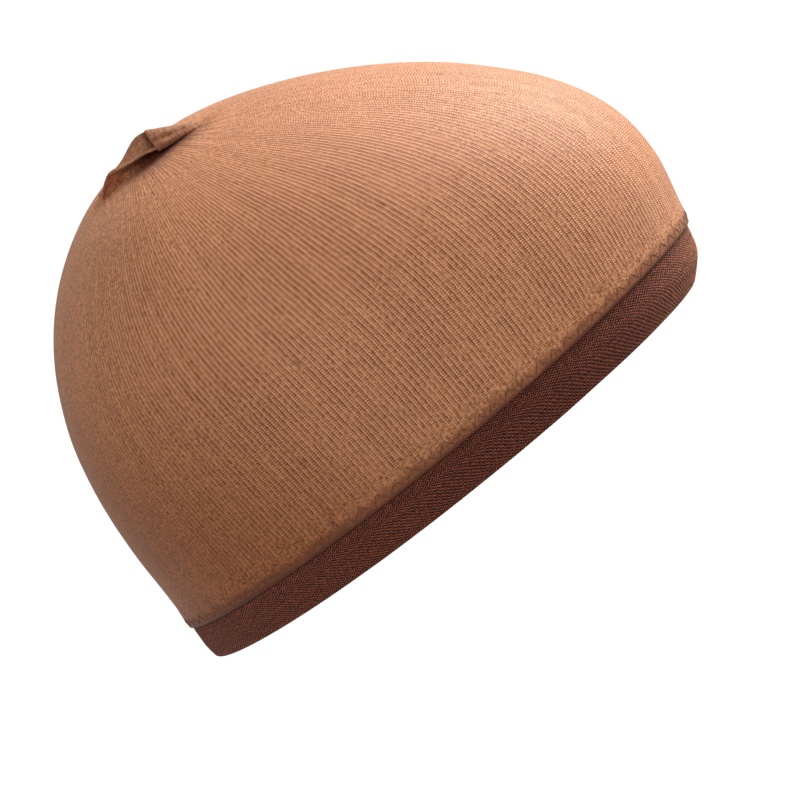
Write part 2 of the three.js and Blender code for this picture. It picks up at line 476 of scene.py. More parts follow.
crown.data.uv_layers.new(name=GIRTH_AND_SHADE_MAP)
cloth_map = crown.data.uv_layers["UVMap"].data
girth_map = crown.data.uv_layers[GIRTH_AND_SHADE_MAP].data
for corner, girth in zip(cloth_map, girth_map):
    row = round(corner.uv.y * CROWN_ROWS)
    girth.uv = (row_girths[row], painted_shade_under_seam(corner.uv.x, row))
    corner.uv.y = row_shares[row]
print("deepest shade in the map:", round(max(corner.uv.y for corner in girth_map), 2))
close_up(crown)
apply_modifier(crown, "SOLIDIFY", thickness=CROWN_THICKNESS, offset=-1)
smooth(crown)
print("crown_knit:", count(crown), "triangles")

# %% [markdown]
# ## The elastic band
#
# The band is a thick, matt elastic knit. Rubber threads run round it in courses and pull its surface
# together, so each course is a fine ridge that waves up and down. Square to them, every few millimetres, a
# straight line crosses the band. The ridges catch the light one by one and roughen the rim, so we model
# them, and leave the holes between the threads to the material. The sheet runs once round the band's
# section, up the outside, over the top, down the inside and back under, which gives it soft edges.

# %% Section of the band
BAND_OUTSET = -0.6 * MM
BAND_THICKNESS = 1.2 * MM
COURSES = 22
CROSS_LINES = 166
BAND_COLUMNS = 6 * CROSS_LINES
OUTER_ROWS = 3 * COURSES
EDGE_ROWS = 4
INNER_ROWS = 8
BAND_ROWS = OUTER_ROWS + EDGE_ROWS + INNER_ROWS + EDGE_ROWS
EDGE_RADIUS = BAND_THICKNESS / 2


def band_section():
    """The band's section as (height above the rim, offset from the crown's face, ridge share)."""
    low, high = EDGE_RADIUS, BAND_HEIGHT - EDGE_RADIUS
    middle = BAND_OUTSET - EDGE_RADIUS
    section = []
    for step in range(OUTER_ROWS):
        section.append((low + (high - low) * step / OUTER_ROWS, BAND_OUTSET, 1))
    for step in range(EDGE_ROWS):
        turn = math.pi * step / EDGE_ROWS
        section.append((high + EDGE_RADIUS * math.sin(turn), middle + EDGE_RADIUS * math.cos(turn), 0.4))
    for step in range(INNER_ROWS):
        section.append((high - (high - low) * step / INNER_ROWS, BAND_OUTSET - BAND_THICKNESS, 0))
    for step in range(EDGE_ROWS + 1):
        turn = math.pi * step / EDGE_ROWS
        section.append((low - EDGE_RADIUS * math.sin(turn), middle - EDGE_RADIUS * math.cos(turn), 0.4))
    return section


section = band_section()
row_places = [place_of_height(max(height, 0.0)) for height, _, _ in section]
HEIGHT_STEP = 0.25 * MM
HEIGHT_STEPS = 100
height_places = [place_of_height(step * HEIGHT_STEP) for step in range(HEIGHT_STEPS)]


def place_near_rim(height):
    """The place at a height above the rim, read from a list of heights, which is quicker."""
    index = min(max(int(height / HEIGHT_STEP), 0), HEIGHT_STEPS - 2)
    share = max(height, 0.0) / HEIGHT_STEP - index
    return round(height_places[index] * (1 - share) + height_places[index + 1] * share, 3)


print("band section points:", len(section))

# %% Form of the band
RIDGE_DEPTH = 0.07 * MM
COURSE_WAVE = 0.36
SIDE_DROP = 1.1 * MM
UNEVENNESS = 0.12 * MM


def course_turns(share, rise):
    """How many courses lie below a point, from its shares round and up the band."""
    wave = math.sin(2 * math.pi * (2 * CROSS_LINES * share + 0.4 * math.sin(2 * math.pi * 1.5 * rise)))
    return COURSES * rise + COURSE_WAVE * wave


def unevenness(angle):
    """The slight ups and downs of a stretched rim."""
    return UNEVENNESS * noise.noise(Vector((5 * math.cos(angle), 5 * math.sin(angle), 0.3)))


def rim_drop(angle):
    """How far the band's lower edge hangs below the rim's level, most at the sides."""
    return SIDE_DROP * math.sin(angle) ** 2


def band_position(across, up):
    """Where a point of the flat sheet lies on the band."""
    row = round(up * BAND_ROWS)
    height, offset, share = section[row]
    angle = angle_at(row_places[row], 1 - across)
    ridge = RIDGE_DEPTH * share * math.cos(2 * math.pi * course_turns(across, height / BAND_HEIGHT))
    offset += ridge + unevenness(angle)
    raised = min(max(height / BAND_HEIGHT, 0), 1)
    height += raised * hem_rise(angle) - (1 - raised) * rim_drop(angle)
    place = place_near_rim(height)
    point = cap_point(place, angle) + offset * cap_normal(place, angle)
    return point + TILT @ Vector((0, 0, min(height, 0.0)))


band = new_grid("band_elastic", BAND_COLUMNS, BAND_ROWS)
wrap(band, band_position)
for corner in band.data.uv_layers["UVMap"].data:
    corner.uv.y = section[round(corner.uv.y * BAND_ROWS)][0] / BAND_HEIGHT
close_up(band)
smooth(band)
print("band_elastic:", count(band), "triangles")

# %% [markdown]
# ## The zigzag stitches
#
# One dark thread fixes the crown's hem to the band. It runs to and fro between the hem's cut edge and the
# band's upper edge, and dips into the cloth at each needle hole. Such a thread is a curve that follows
# the hem, with a bevel for its thickness, turned into a mesh. The peaks aren't quite alike: the machine's
# feed and the stretch of the cloth shift each a little.

# %% Thread of the zigzag
STITCH_COUNT = 91
HEM_PLACE = place_of_height(BAND_HEIGHT)
THREAD_RADIUS = 0.15 * MM
STITCH_LOW = BAND_HEIGHT - LAP_HEIGHT + 0.35 * MM
STITCH_HIGH = BAND_HEIGHT + 0.1 * MM
POINTS_PER_LEG = 7
PEAK_SHARE = 0.6
random.seed(7)
jitters = [(random.uniform(-0.08, 0.08), random.uniform(-0.25, 0.25) * MM) for _ in range(STITCH_COUNT)]


def on_hem(share, height, lift):
    """A point over the crown's hem, lifted off the cloth, at a share of the way round."""
    angle = angle_at(HEM_PLACE, share)
    place = place_near_rim(height + hem_rise(angle))
    return cap_point(place, angle) + (HEM_STAND + lift) * cap_normal(place, angle)


def leg(start, end):
    """Points of one leg of the zigzag, between two needle holes given as share round and height."""
    points = []
    for step in range(POINTS_PER_LEG):
        share = step / POINTS_PER_LEG
        turn = start[0] + (end[0] - start[0]) * share
        height = start[1] + (end[1] - start[1]) * share
        arch = math.sin(math.pi * share) ** 0.5
        points.append(on_hem(turn, height, (-0.22 + 0.24 * arch) * MM))
    return points


needle_holes = []
for stitch, (shift, drop) in enumerate(jitters):
    needle_holes.append(((stitch + shift) / STITCH_COUNT, STITCH_LOW))
    needle_holes.append(((stitch + shift + PEAK_SHARE) / STITCH_COUNT, STITCH_HIGH + drop))
first_share, first_height = needle_holes[0]
needle_holes.append((first_share + 1, first_height))
route = [point for start, end in zip(needle_holes, needle_holes[1:]) for point in leg(start, end)]

thread_curve = bpy.data.curves.new("hem_zigzag", "CURVE")
thread_curve.dimensions = "3D"
thread_curve.bevel_depth = THREAD_RADIUS
thread_curve.bevel_resolution = 1
spline = thread_curve.splines.new("POLY")
spline.points.add(len(route) - 1)
for spot, point in zip(spline.points, route):
    spot.co = (*point, 1)
spline.use_cyclic_u = True
thread = bpy.data.objects.new("hem_zigzag", thread_curve)
bpy.context.scene.collection.objects.link(thread)
only(thread)
bpy.ops.object.convert(target="MESH")
thread = bpy.context.object
smooth(thread)
print("hem_zigzag:", count(thread), "triangles")

# %% [markdown]
# ## The closing seam
#
# At the top the tube of knit is gathered and sewn shut, and its edge is left standing as a short ridge of
# doubled cloth. It doesn't stand straight. Towards the back its edge has opened into two lips with
# a trough between them, and the one on the -X side leans out over the crown. Towards the front the edge has
# rolled over into a fat, twisted curl, whose open end shows a dark hollow.
#
# We loft the folds from a table: each row says where the lips, trough and feet are at one station along the
# seam, in millimetres across it and up from its foot. Across is negative towards -X.

# %% Folds of the seam
FOLD_COLUMNS = (
    "along", "foot_near", "tuck", "lip_near", "lip_near_up", "trough", "trough_up",
    "lip_far", "lip_far_up", "foot_far",
)
FOLD_STATIONS = [
    (0.00, -0.9, -0.6, -0.5, 0.3, 0.0, 0.3, 0.3, 0.3, 0.7),
    (0.04, -2.0, -1.5, -1.6, 1.2, -0.4, 1.3, 0.5, 1.4, 1.6),
    (0.10, -2.9, -2.2, -2.2, 2.5, -0.8, 2.6, 0.6, 2.8, 2.4),
    (0.19, -2.9, -2.3, -2.6, 3.9, -0.8, 3.7, 0.9, 3.8, 3.0),
    (0.27, -2.6, -1.7, -3.4, 3.6, -0.8, 3.1, 1.3, 3.3, 3.2),
    (0.36, -2.5, -1.0, -4.2, 3.1, -0.9, 2.7, 1.8, 3.8, 3.4),
    (0.45, -2.5, -0.8, -4.8, 2.8, -1.0, 2.6, 1.7, 5.0, 3.5),
    (0.54, -2.5, -0.7, -5.3, 2.6, -1.0, 2.6, 1.4, 6.0, 3.6),
    (0.61, -2.5, -0.7, -5.5, 2.1, -1.0, 2.2, 1.2, 6.0, 3.6),
    (0.68, -2.4, -0.8, -4.2, 1.5, -0.8, 2.2, 1.0, 5.4, 3.5),
    (0.80, -2.0, -1.0, -2.2, 1.1, -0.4, 1.8, 0.8, 2.9, 3.2),
    (0.90, -1.4, -0.8, -1.2, 0.6, -0.2, 1.0, 0.6, 1.3, 2.2),
    (1.00, -0.6, -0.4, -0.3, 0.2, 0.0, 0.2, 0.3, 0.2, 0.7),
]
FOLD_COLUMNS_ALONG = 110
FOLD_ROWS = 48
FOLD_THICKNESS = 0.6 * MM


def seam_point(along, across, up):
    """A point on the closing seam: along runs from 0 at the back to 1, across and up are in metres."""
    from_middle = SEAM_LENGTH * (0.5 - along)
    foot = CAP_DEPTH - SEAM_ARCH * (from_middle / SEAM_HALF) ** 2
    return set_in_place(Vector((across, SEAM_SETBACK + from_middle, foot + up)), 1)


def place_in_table(rows, target):
    """The place, counted in rows, where the first column reaches a value."""
    firsts = [row[0] for row in rows]
    index = min(max(bisect.bisect_right(firsts, target) - 1, 0), len(rows) - 2)
    return index + (target - firsts[index]) / (firsts[index + 1] - firsts[index])


def fold_path(along):
    """The control points of the folded edge at one station, from the near foot to the far one."""
    row = row_at(FOLD_STATIONS, FOLD_COLUMNS, place_in_table(FOLD_STATIONS, along))
    return [
        (row.foot_near - 0.4, -0.9),
        (row.foot_near, -0.2),
        (row.tuck, 0.3 * row.lip_near_up),
        (row.lip_near + 0.45, row.lip_near_up - 0.45),
        (row.lip_near, row.lip_near_up),
        (row.lip_near + 0.5, row.lip_near_up + 0.25),
        (row.trough, row.trough_up),
        (row.lip_far - 0.4, row.lip_far_up - 0.1),
        (row.lip_far + 0.25, row.lip_far_up),
        (0.5 * row.lip_far + 0.5 * row.foot_far, 0.4 * row.lip_far_up),
        (row.foot_far, 0.05),
        (row.foot_far + 0.6, -0.5),
    ]


fold_paths = [fold_path(column / FOLD_COLUMNS_ALONG) for column in range(FOLD_COLUMNS_ALONG + 1)]


def fold_position(along, up):
    """Where a point of the flat strip lies on the folded edge."""
    path = fold_paths[round(along * FOLD_COLUMNS_ALONG)]
    place = up * (len(path) - 1)
    across, rise = (smooth_value(path, column, place) for column in (0, 1))
    return seam_point(along, across * MM, rise * MM)


folds = new_grid("closing_seam_folds", FOLD_COLUMNS_ALONG, FOLD_ROWS)
wrap(folds, fold_position)
close_up(folds)
apply_modifier(folds, "SOLIDIFY", thickness=FOLD_THICKNESS, offset=-1)
apply_modifier(folds, "SUBSURF", levels=1, render_levels=1)
smooth(folds)
print("closing_seam_folds:", count(folds), "triangles")

# %% [markdown]
# The curl is a tube of cloth that lies over the folds. Its section is a slanting oval with a crease on
# its upper side, so that it reads as two rolls. It is widest at its open end and tapers to the front,
# where it sinks into the crown. Solidify gives the open end its thick, soft rim.

# %% Curl of the seam
CURL_COLUMNS = ("along", "across", "up", "reach", "thickness", "slant", "crease")
CURL_STATIONS = [
    (0.640, -2.7, 3.8, 3.9, 1.8, 49, 0.38),
    (0.665, -2.8, 3.7, 4.0, 2.1, 47, 0.50),
    (0.720, -2.9, 3.2, 3.6, 2.1, 43, 0.46),
    (0.780, -2.6, 2.7, 3.2, 1.9, 40, 0.34),
    (0.850, -2.1, 2.1, 2.7, 1.6, 36, 0.22),
    (0.920, -1.5, 1.5, 2.2, 1.3, 30, 0.12),
    (1.000, -0.9, 0.7, 1.8, 1.0, 22, 0.05),
    (1.060, -0.5, 0.1, 1.2, 0.8, 16, 0.00),
    (1.120, -0.4, -0.8, 0.3, 0.3, 12, 0.00),
]
CURL_START = CURL_STATIONS[0][0]
CURL_END = CURL_STATIONS[-1][0]
CURL_AROUND = 48
CURL_ALONG = 60
CREASE_TURN = math.radians(115)
CREASE_SPREAD = math.radians(20)


def curl_position(around, along_share):
    """Where a point of the flat strip lies on the curl."""
    along = CURL_START + (CURL_END - CURL_START) * along_share
    row = row_at(CURL_STATIONS, CURL_COLUMNS, place_in_table(CURL_STATIONS, along))
    turn = 2 * math.pi * around
    from_crease = (turn - CREASE_TURN + math.pi) % (2 * math.pi) - math.pi
    pinch = 1 - row.crease * math.exp(-((from_crease / CREASE_SPREAD) ** 2))
    flat = row.reach * pinch * math.cos(turn)
    deep = row.thickness * pinch * math.sin(turn)
    slant = math.radians(row.slant)
    swell = 0.22 * noise.noise(Vector((9 * along, 1.4 * math.cos(turn), 1.4 * math.sin(turn))))
    across = row.across + flat * math.cos(slant) - deep * math.sin(slant) - swell
    up = row.up + flat * math.sin(slant) + deep * math.cos(slant) + swell
    return seam_point(along, across * MM, up * MM)


curl = new_grid("closing_seam_curl", CURL_AROUND, CURL_ALONG)
wrap(curl, curl_position)
close_up(curl)
apply_modifier(curl, "SOLIDIFY", thickness=FOLD_THICKNESS, offset=-1)
apply_modifier(curl, "SUBSURF", levels=1, render_levels=1)
smooth(curl)
print("closing_seam_curl:", count(curl), "triangles")

# %% [markdown]
# ## Helpers for materials
#
# A knit is a pattern of sums and waves, and as nodes that becomes a web that nobody can read. So a small
# helper adds math nodes and joins them, and a formula stays one line of code.

# %% Wiring helper
class Wiring:
    """Adds nodes to one tree and joins them. A value is a number, a colour or another node's output."""

    def __init__(self, tree):
        self.tree = tree

    def feed(self, socket, value):
        if isinstance(value, bpy.types.NodeSocket):
            self.tree.links.new(value, socket)
        else:
            socket.default_value = value

    def node(self, kind, **settings):
        made = self.tree.nodes.new(kind)
        for key, value in settings.items():
            setattr(made, key, value)
        return made

    def math(self, operation, *values):
        made = self.node("ShaderNodeMath", operation=operation)
        for socket, value in zip(made.inputs, values):
            self.feed(socket, value)
        return made.outputs[0]

    def times(self, first, second):
        return self.math("MULTIPLY", first, second)

    def centred(self, share):
        """A share from 0 to 1 as its distance from the middle."""
        return self.math("SUBTRACT", share, 0.5)

    def cloth(self, layer="UVMap"):
        """Places on the flat cloth, from one of the piece's own maps."""
        return self.node("ShaderNodeUVMap", uv_map=layer).outputs[0]

    def place(self):
        """Places in the object, in metres."""
        return self.node("ShaderNodeTexCoord").outputs["Object"]

    def wave(self, turns, shift=0, sharpness=1):
        """A wave from 0 to 1 that peaks at each whole number of turns, narrower where it is sharp."""
        raised = self.math("COSINE", self.times(self.math("ADD", turns, shift), 2 * math.pi))
        raised = self.math("MULTIPLY_ADD", raised, 0.5, 0.5)
        return self.math("POWER", raised, sharpness) if sharpness != 1 else raised

    def total(self, first, *terms):
        """The first value plus each term's value times its weight."""
        for value, weight in terms:
            first = self.math("MULTIPLY_ADD", value, weight, first)
        return first

    def split(self, vector):
        """The three numbers of a vector."""
        made = self.node("ShaderNodeSeparateXYZ")
        self.feed(made.inputs[0], vector)
        return made.outputs

    def join(self, x, y, z=0):
        """A vector of three numbers."""
        made = self.node("ShaderNodeCombineXYZ")
        for socket, value in zip(made.inputs, (x, y, z)):
            self.feed(socket, value)
        return made.outputs[0]

    def dice(self, number):
        """A random number from 0 to 1 for each whole number."""
        made = self.node("ShaderNodeTexWhiteNoise", noise_dimensions="1D")
        self.feed(made.inputs["W"], number)
        return made.outputs["Value"]

    def blend(self, share, low, high):
        """low where share is 0 and high where it is 1, for numbers."""
        made = self.node("ShaderNodeMix", data_type="FLOAT")
        self.feed(made.inputs[0], share)
        self.feed(made.inputs[2], low)
        self.feed(made.inputs[3], high)
        return made.outputs[0]

    def colours(self, share, low, high):
        """low where share is 0 and high where it is 1, for colours."""
        made = self.node("ShaderNodeMix", data_type="RGBA")
        self.feed(made.inputs[0], share)
        self.feed(made.inputs[6], low)
        self.feed(made.inputs[7], high)
        return made.outputs[2]

    def tinted(self, share, colour, tint):
        """A colour multiplied by a tint, as far as share says."""
        made = self.node("ShaderNodeMix", data_type="RGBA", blend_type="MULTIPLY")
        self.feed(made.inputs[0], share)
        self.feed(made.inputs[6], colour)
        self.feed(made.inputs[7], tint)
        return made.outputs[2]

    def ramp(self, value, low, high):
        """0 below low, 1 above high and a soft rise between."""
        made = self.node("ShaderNodeMapRange", interpolation_type="SMOOTHSTEP")
        for index, item in enumerate((value, low, high, 0, 1)):
            self.feed(made.inputs[index], item)
        return made.outputs[0]

    def noise(self, vector, scale, detail=2, roughness=0.5):
        """Noise from 0 to 1, most of it near the middle."""
        made = self.node("ShaderNodeTexNoise")
        self.feed(made.inputs["Vector"], vector)
        self.feed(made.inputs["Scale"], scale)
        self.feed(made.inputs["Detail"], detail)
        self.feed(made.inputs["Roughness"], roughness)
        return made.outputs[0]


def node_of_kind(tree, kind):
    """The first node of a kind in a tree."""
    return next(node for node in tree.nodes if node.type == kind)


def new_group(name, inputs, outputs):
    """An empty node group with named sockets: the tree, its inputs by name and its outputs by name."""
    tree = bpy.data.node_groups.new(name, "ShaderNodeTree")
    for label, kind in inputs:
        tree.interface.new_socket(label, in_out="INPUT", socket_type=kind)
    for label, kind in outputs:
        tree.interface.new_socket(label, in_out="OUTPUT", socket_type=kind)
    source = tree.nodes.new("NodeGroupInput")
    result = tree.nodes.new("NodeGroupOutput")
    return tree, source.outputs, result.inputs


def place_group(wiring, group, **values):
    """Puts a node group in a tree with its own values, and gives its outputs."""
    made = wiring.node("ShaderNodeGroup", node_tree=group)
    for label, value in values.items():
        wiring.feed(made.inputs[label], value)
    return made.outputs


NUMBER, PLACE = "NodeSocketFloat", "NodeSocketVector"

# %% [markdown]
# ## The ribbed knit
#
# Seen close, stocking knit is a set of ribs that run up the cap. Across one rib lie a dark groove, a
# column of loops, each a small light bar, a column of pinholes and a thin light line. The bars of two
# ribs beside each other don't line up, and a rib is clear in one place and almost lost in the next, so
# chance shifts the first and fades the second. This group draws one set of ribs, from a count of ribs
# across and of loops up, and clarity says how strongly they show. A few ribs are snagged for a short
# way, and look dark there.

# %% Node group: one set of ribs
ribs_group, take, give = new_group(
    "set of ribs",
    [("Across", NUMBER), ("Up", NUMBER), ("Clarity", NUMBER)],
    [("Light", NUMBER), ("Chance", NUMBER)],
)
w = Wiring(ribs_group)
rib_number = w.math("FLOOR", take["Across"])
chance = w.dice(rib_number)
climb = w.total(take["Up"], (chance, 1.0))
bars = w.times(w.wave(take["Across"], -0.36, 2), w.wave(climb, 0, 1.2))
groove = w.wave(take["Across"], 0, 5)
pinholes = w.times(w.wave(take["Across"], -0.58, 6), w.wave(climb, 0.5, 1.5))
thin_line = w.wave(take["Across"], -0.80, 6)
snag = w.dice(w.total(w.math("FLOOR", w.times(climb, 0.25)), (rib_number, 57.0)))
snag = w.ramp(snag, 0.9988, 0.9990)
pattern = w.total(0.0, (snag, -0.3), (bars, 1.22), (groove, -0.44), (pinholes, -0.68), (thin_line, 0.16))
strength = w.noise(w.join(w.times(rib_number, 3.7), w.times(climb, 0.13)), 1.0, 3)
strength = w.math("MAXIMUM", w.math("MULTIPLY_ADD", strength, 3.4, -0.75), 0.15)
strength = w.times(strength, take["Clarity"])
w.feed(give["Light"], w.math("MULTIPLY_ADD", pattern, strength, 0.45))
w.feed(give["Chance"], chance)
print("nodes in a set of ribs:", len(ribs_group.nodes))

# %% [markdown]
# The crown has the same ribs from rim to seam, but towards the seam they crowd until they can't be told
# apart, and what shows there is a coarser set. So the next group keeps two sets, one twice as dense
# as the other. It chooses the pair from the cap's girth and passes from one to the other over a ragged line.

# %% Node group: ribbed knit
knit_group, take, give = new_group(
    "ribbed knit",
    [
        ("Cloth", PLACE), ("Girth", NUMBER), ("Ribs", NUMBER), ("Rows", NUMBER), ("Sway", NUMBER),
        ("Clarity", NUMBER),
    ],
    [("Light", NUMBER), ("Chance", NUMBER)],
)
w = Wiring(knit_group)
across, upward, _ = w.split(take["Cloth"])
ragged = w.noise(w.join(w.times(across, 160), w.times(upward, 20)), 1.0, 3)
octave = w.total(w.math("LOGARITHM", take["Girth"], 2), (ragged, 0.5))
octave = w.math("MINIMUM", w.math("ADD", octave, 1.5), 0.9)
whole = w.math("FLOOR", w.math("ADD", octave, 0.5))
denser = w.ramp(w.math("SUBTRACT", octave, whole), -0.10, 0.10)
dense_count = w.times(take["Ribs"], w.math("POWER", 2, whole))
sway = w.noise(w.join(w.times(across, 90), w.times(upward, 26)), 1.0, 3)
sway = w.times(w.centred(sway), take["Sway"])
dense = w.math("MULTIPLY_ADD", across, dense_count, sway)
coarse = w.times(dense, 0.5)
climb = w.times(upward, take["Rows"])
fine_set = place_group(w, ribs_group, Across=dense, Up=climb, Clarity=take["Clarity"])
coarse_set = place_group(w, ribs_group, Across=coarse, Up=climb, Clarity=take["Clarity"])
w.feed(give["Light"], w.blend(denser, coarse_set["Light"], fine_set["Light"]))
w.feed(give["Chance"], w.blend(denser, coarse_set["Chance"], fine_set["Chance"]))
print("nodes in the knit group:", len(knit_group.nodes))

# %% [markdown]
# ## The crown's finish
#
# The knit is thin, and its colour changes with what lies under it. Over most of the cap it is a light
# warm brown, brighter on the loops and darker in the gaps. Over the dark band it is a deep orange-brown.
# Just above the hem the rows of stitches are pulled straight and catch the light as fine bright lines.
# Wide, soft patches come from uneven stretch. Towards the lower back a painted shade makes it darker and
# deeper in colour, and under the leaning side of the seam a painted shade makes it darkest.

# %% Material: crown knit
RIBS_ROUND = 342
ROW_PITCH = 0.72 * MM
KNIT_TONES = SimpleNamespace(
    loop=(0.825, 0.370, 0.178, 1), gap=(0.19, 0.054, 0.017, 1),
    hem_light=(0.40, 0.147, 0.058, 1), hem_dark=(0.16, 0.045, 0.014, 1), edge=(0.15, 0.035, 0.018, 1),
)
# Tints of painted shade: towards the lower back, and in the crease under the seam
LOW_SHADE_TINT = (0.54, 0.41, 0.28, 1)
SHADE_TINT = (0.22, 0.085, 0.045, 1)


def new_material(name, roughness, sheen, sheen_tint):
    """A material with its Principled shader: the material, its tree's wiring and that shader."""
    made = bpy.data.materials.new(name)
    made.use_nodes = True
    shader = node_of_kind(made.node_tree, "BSDF_PRINCIPLED")
    shader.inputs["Roughness"].default_value = roughness
    shader.inputs["Specular IOR Level"].default_value = 0.28
    shader.inputs["Sheen Weight"].default_value = sheen
    shader.inputs["Sheen Roughness"].default_value = 0.45
    shader.inputs["Sheen Tint"].default_value = sheen_tint
    return made, Wiring(made.node_tree), shader


def bump(wiring, shader, height, distance):
    """Joins a height from 0 to 1 to the shader's normal, as relief of a real depth in metres."""
    made = wiring.node("ShaderNodeBump")
    made.inputs["Strength"].default_value = 1
    made.inputs["Distance"].default_value = distance
    wiring.feed(made.inputs["Height"], height)
    wiring.feed(shader.inputs["Normal"], made.outputs[0])


knit, w, shader = new_material("crown knit", 0.55, 0.14, (1.0, 0.74, 0.58, 1))
cloth = w.cloth()
# The second map's other number is the painted shade under the seam
girth, depth, _ = w.split(w.cloth(GIRTH_AND_SHADE_MAP))
place = w.place()
crown_rows = round(CROWN_CLOTH / ROW_PITCH)
around, upward, _ = w.split(cloth)
_, backward, height = w.split(place)
slack = w.ramp(backward, 0.048, 0.088)
clarity = w.total(1, (slack, -0.4), (w.ramp(height, 0.02, -0.02), -0.35))
weave = place_group(
    w, knit_group, Cloth=cloth, Girth=girth, Ribs=RIBS_ROUND, Rows=crown_rows, Sway=0.6, Clarity=clarity,
)

# Rows pulled straight just above the band
band_share = band_top / CROWN_CLOTH
one_mm = MM / CROWN_CLOTH
edge_noise = w.noise(w.join(w.times(around, 90), w.times(upward, 30)), 1.0, 2)
ragged = w.total(upward, (w.centred(edge_noise), 4 * one_mm))
near_band = w.math("SUBTRACT", 1, w.ramp(ragged, band_share + 2.5 * one_mm, band_share + 7 * one_mm))
row_turns = w.times(upward, crown_rows * 1.15)
rows = w.wave(row_turns, 0, 1.3)
row_number = w.math("FLOOR", w.math("ADD", row_turns, 0.5))
dashes = w.noise(w.join(w.times(around, 420), w.times(row_number, 7.3)), 1.0, 2)
rows = w.times(rows, w.ramp(dashes, 0.38, 0.58))
straight = w.total(0.22, (rows, 0.75))
light = w.blend(w.times(near_band, 0.7), weave["Light"], straight)

# Uneven stretch
patches = w.noise(place, 24, 3)
grain = w.noise(place, 1150, 2)
light = w.total(light, (w.centred(weave["Chance"]), 0.12))
light = w.total(light, (w.centred(patches), 0.25), (w.centred(grain), 1.3))
surface = w.colours(light, KNIT_TONES.gap, KNIT_TONES.loop)

# The hem over the dark band
over_band = w.math("SUBTRACT", 1, w.ramp(ragged, band_share - 1.6 * one_mm, band_share + 1.0 * one_mm))
hem_light = w.total(0.45, (w.math("SUBTRACT", light, 0.45), 0.6))
hem = w.colours(hem_light, KNIT_TONES.hem_dark, KNIT_TONES.hem_light)
# Painted shade: a dark line along the hem's cut edge, where the hem steps down onto the band
edge = w.total(upward, (w.centred(edge_noise), 1.5 * one_mm))
hem_share = hem_start / CROWN_CLOTH
edge = w.math("SUBTRACT", 1, w.ramp(edge, hem_share + 0.3 * one_mm, hem_share + 1.3 * one_mm))
surface = w.colours(w.times(over_band, 0.9), surface, hem)
surface = w.colours(w.times(edge, 0.8), surface, KNIT_TONES.edge)

# Painted shade: darker and deeper in colour towards the lower back, and darkest in the crease under the seam
low = w.total(0.0, (backward, 0.15), (height, -1))
low = w.ramp(low, -0.045, 0.035)
surface = w.tinted(low, surface, LOW_SHADE_TINT)
surface = w.tinted(depth, surface, SHADE_TINT)
w.feed(shader.inputs["Base Color"], surface)
bump(w, shader, light, 0.09 * MM)
crown.data.materials.append(knit)

# %% [markdown]
# ## The seam's finish
#
# The seam is the same cloth, but unstretched and doubled, so its loops are closer and it looks denser and
# duller. Its ribs run along the folds. Each piece's own UV map carries them. Shade is painted into its
# colour: dark in the hollow under the near lip and in a pocket beside the curl, red-brown on the flank at
# the back end, and a little darker over the whole curl.

# %% Material: seam knit
SEAM_TONES = SimpleNamespace(gap=(0.22, 0.07, 0.028, 1), loop=(0.52, 0.235, 0.122, 1))
# Tints of painted shade: in the hollow, on the flank at the back end, and over the whole curl
HOLLOW_SHADE_TINT = (0.14, 0.055, 0.032, 1)
FLANK_SHADE_TINT = (0.85, 0.62, 0.50, 1)
CURL_SHADE_TINT = (0.86, 0.84, 0.82, 1)


def seam_cloth(name, shade_the_hollow):
    """The seam's cloth. For the folds, painted shade darkens the hollow under the near lip, a pocket beside
    the curl and the flank at the back end; for the curl, the whole cloth is painted a little darker, partly
    for its denser rolled cloth and partly as painted shade.
    """
    made, w, shader = new_material(name, 0.7, 0.18, (1.0, 0.7, 0.52, 1))
    cloth = w.cloth()
    place = w.place()
    weave = place_group(w, knit_group, Cloth=cloth, Girth=1.0, Ribs=44, Rows=46, Sway=0.9, Clarity=0.25)
    mottle = w.math("MULTIPLY_ADD", w.noise(place, 1100, 3), 1.8, -0.9)
    patches = w.math("MULTIPLY_ADD", w.noise(place, 160, 2), 0.7, -0.35)
    share = w.total(weave["Light"], (mottle, 1.0), (patches, 1.0))
    surface = w.colours(share, SEAM_TONES.gap, SEAM_TONES.loop)
    if not shade_the_hollow:
        # Painted a little darker all over: partly the denser rolled cloth, partly painted shade against the
        # light that falls on the curl
        surface = w.tinted(1, surface, CURL_SHADE_TINT)
    else:
        along, upward, _ = w.split(cloth)
        # Painted shade in the hollow between the near foot and the lip above it
        deep = w.times(w.ramp(along, 0.17, 0.55), w.ramp(along, 1.0, 0.78))
        deep = w.times(deep, w.ramp(upward, 0.33, 0.24))
        surface = w.tinted(deep, surface, HOLLOW_SHADE_TINT)
        # Painted shade in the pocket beside the curl's open end
        painted_pocket_shade = w.times(w.ramp(along, 0.56, 0.64), w.ramp(along, 0.74, 0.68))
        painted_pocket_shade = w.times(painted_pocket_shade, w.ramp(upward, 0.44, 0.56))
        painted_pocket_shade = w.times(painted_pocket_shade, w.ramp(upward, 0.76, 0.68))
        surface = w.tinted(w.times(painted_pocket_shade, 0.85), surface, HOLLOW_SHADE_TINT)
        # Painted shade: the lower flank at the back end, which gets less light, is painted a darker
        # red-brown
        painted_flank_shade = w.ramp(along, 0.36, 0.18)
        surface = w.tinted(w.times(painted_flank_shade, w.ramp(upward, 0.45, 0.30)), surface, FLANK_SHADE_TINT)
    w.feed(shader.inputs["Base Color"], surface)
    bump(w, shader, share, 0.12 * MM)
    return made


folds.data.materials.append(seam_cloth("seam knit, folded", True))
curl.data.materials.append(seam_cloth("seam knit, rolled", False))

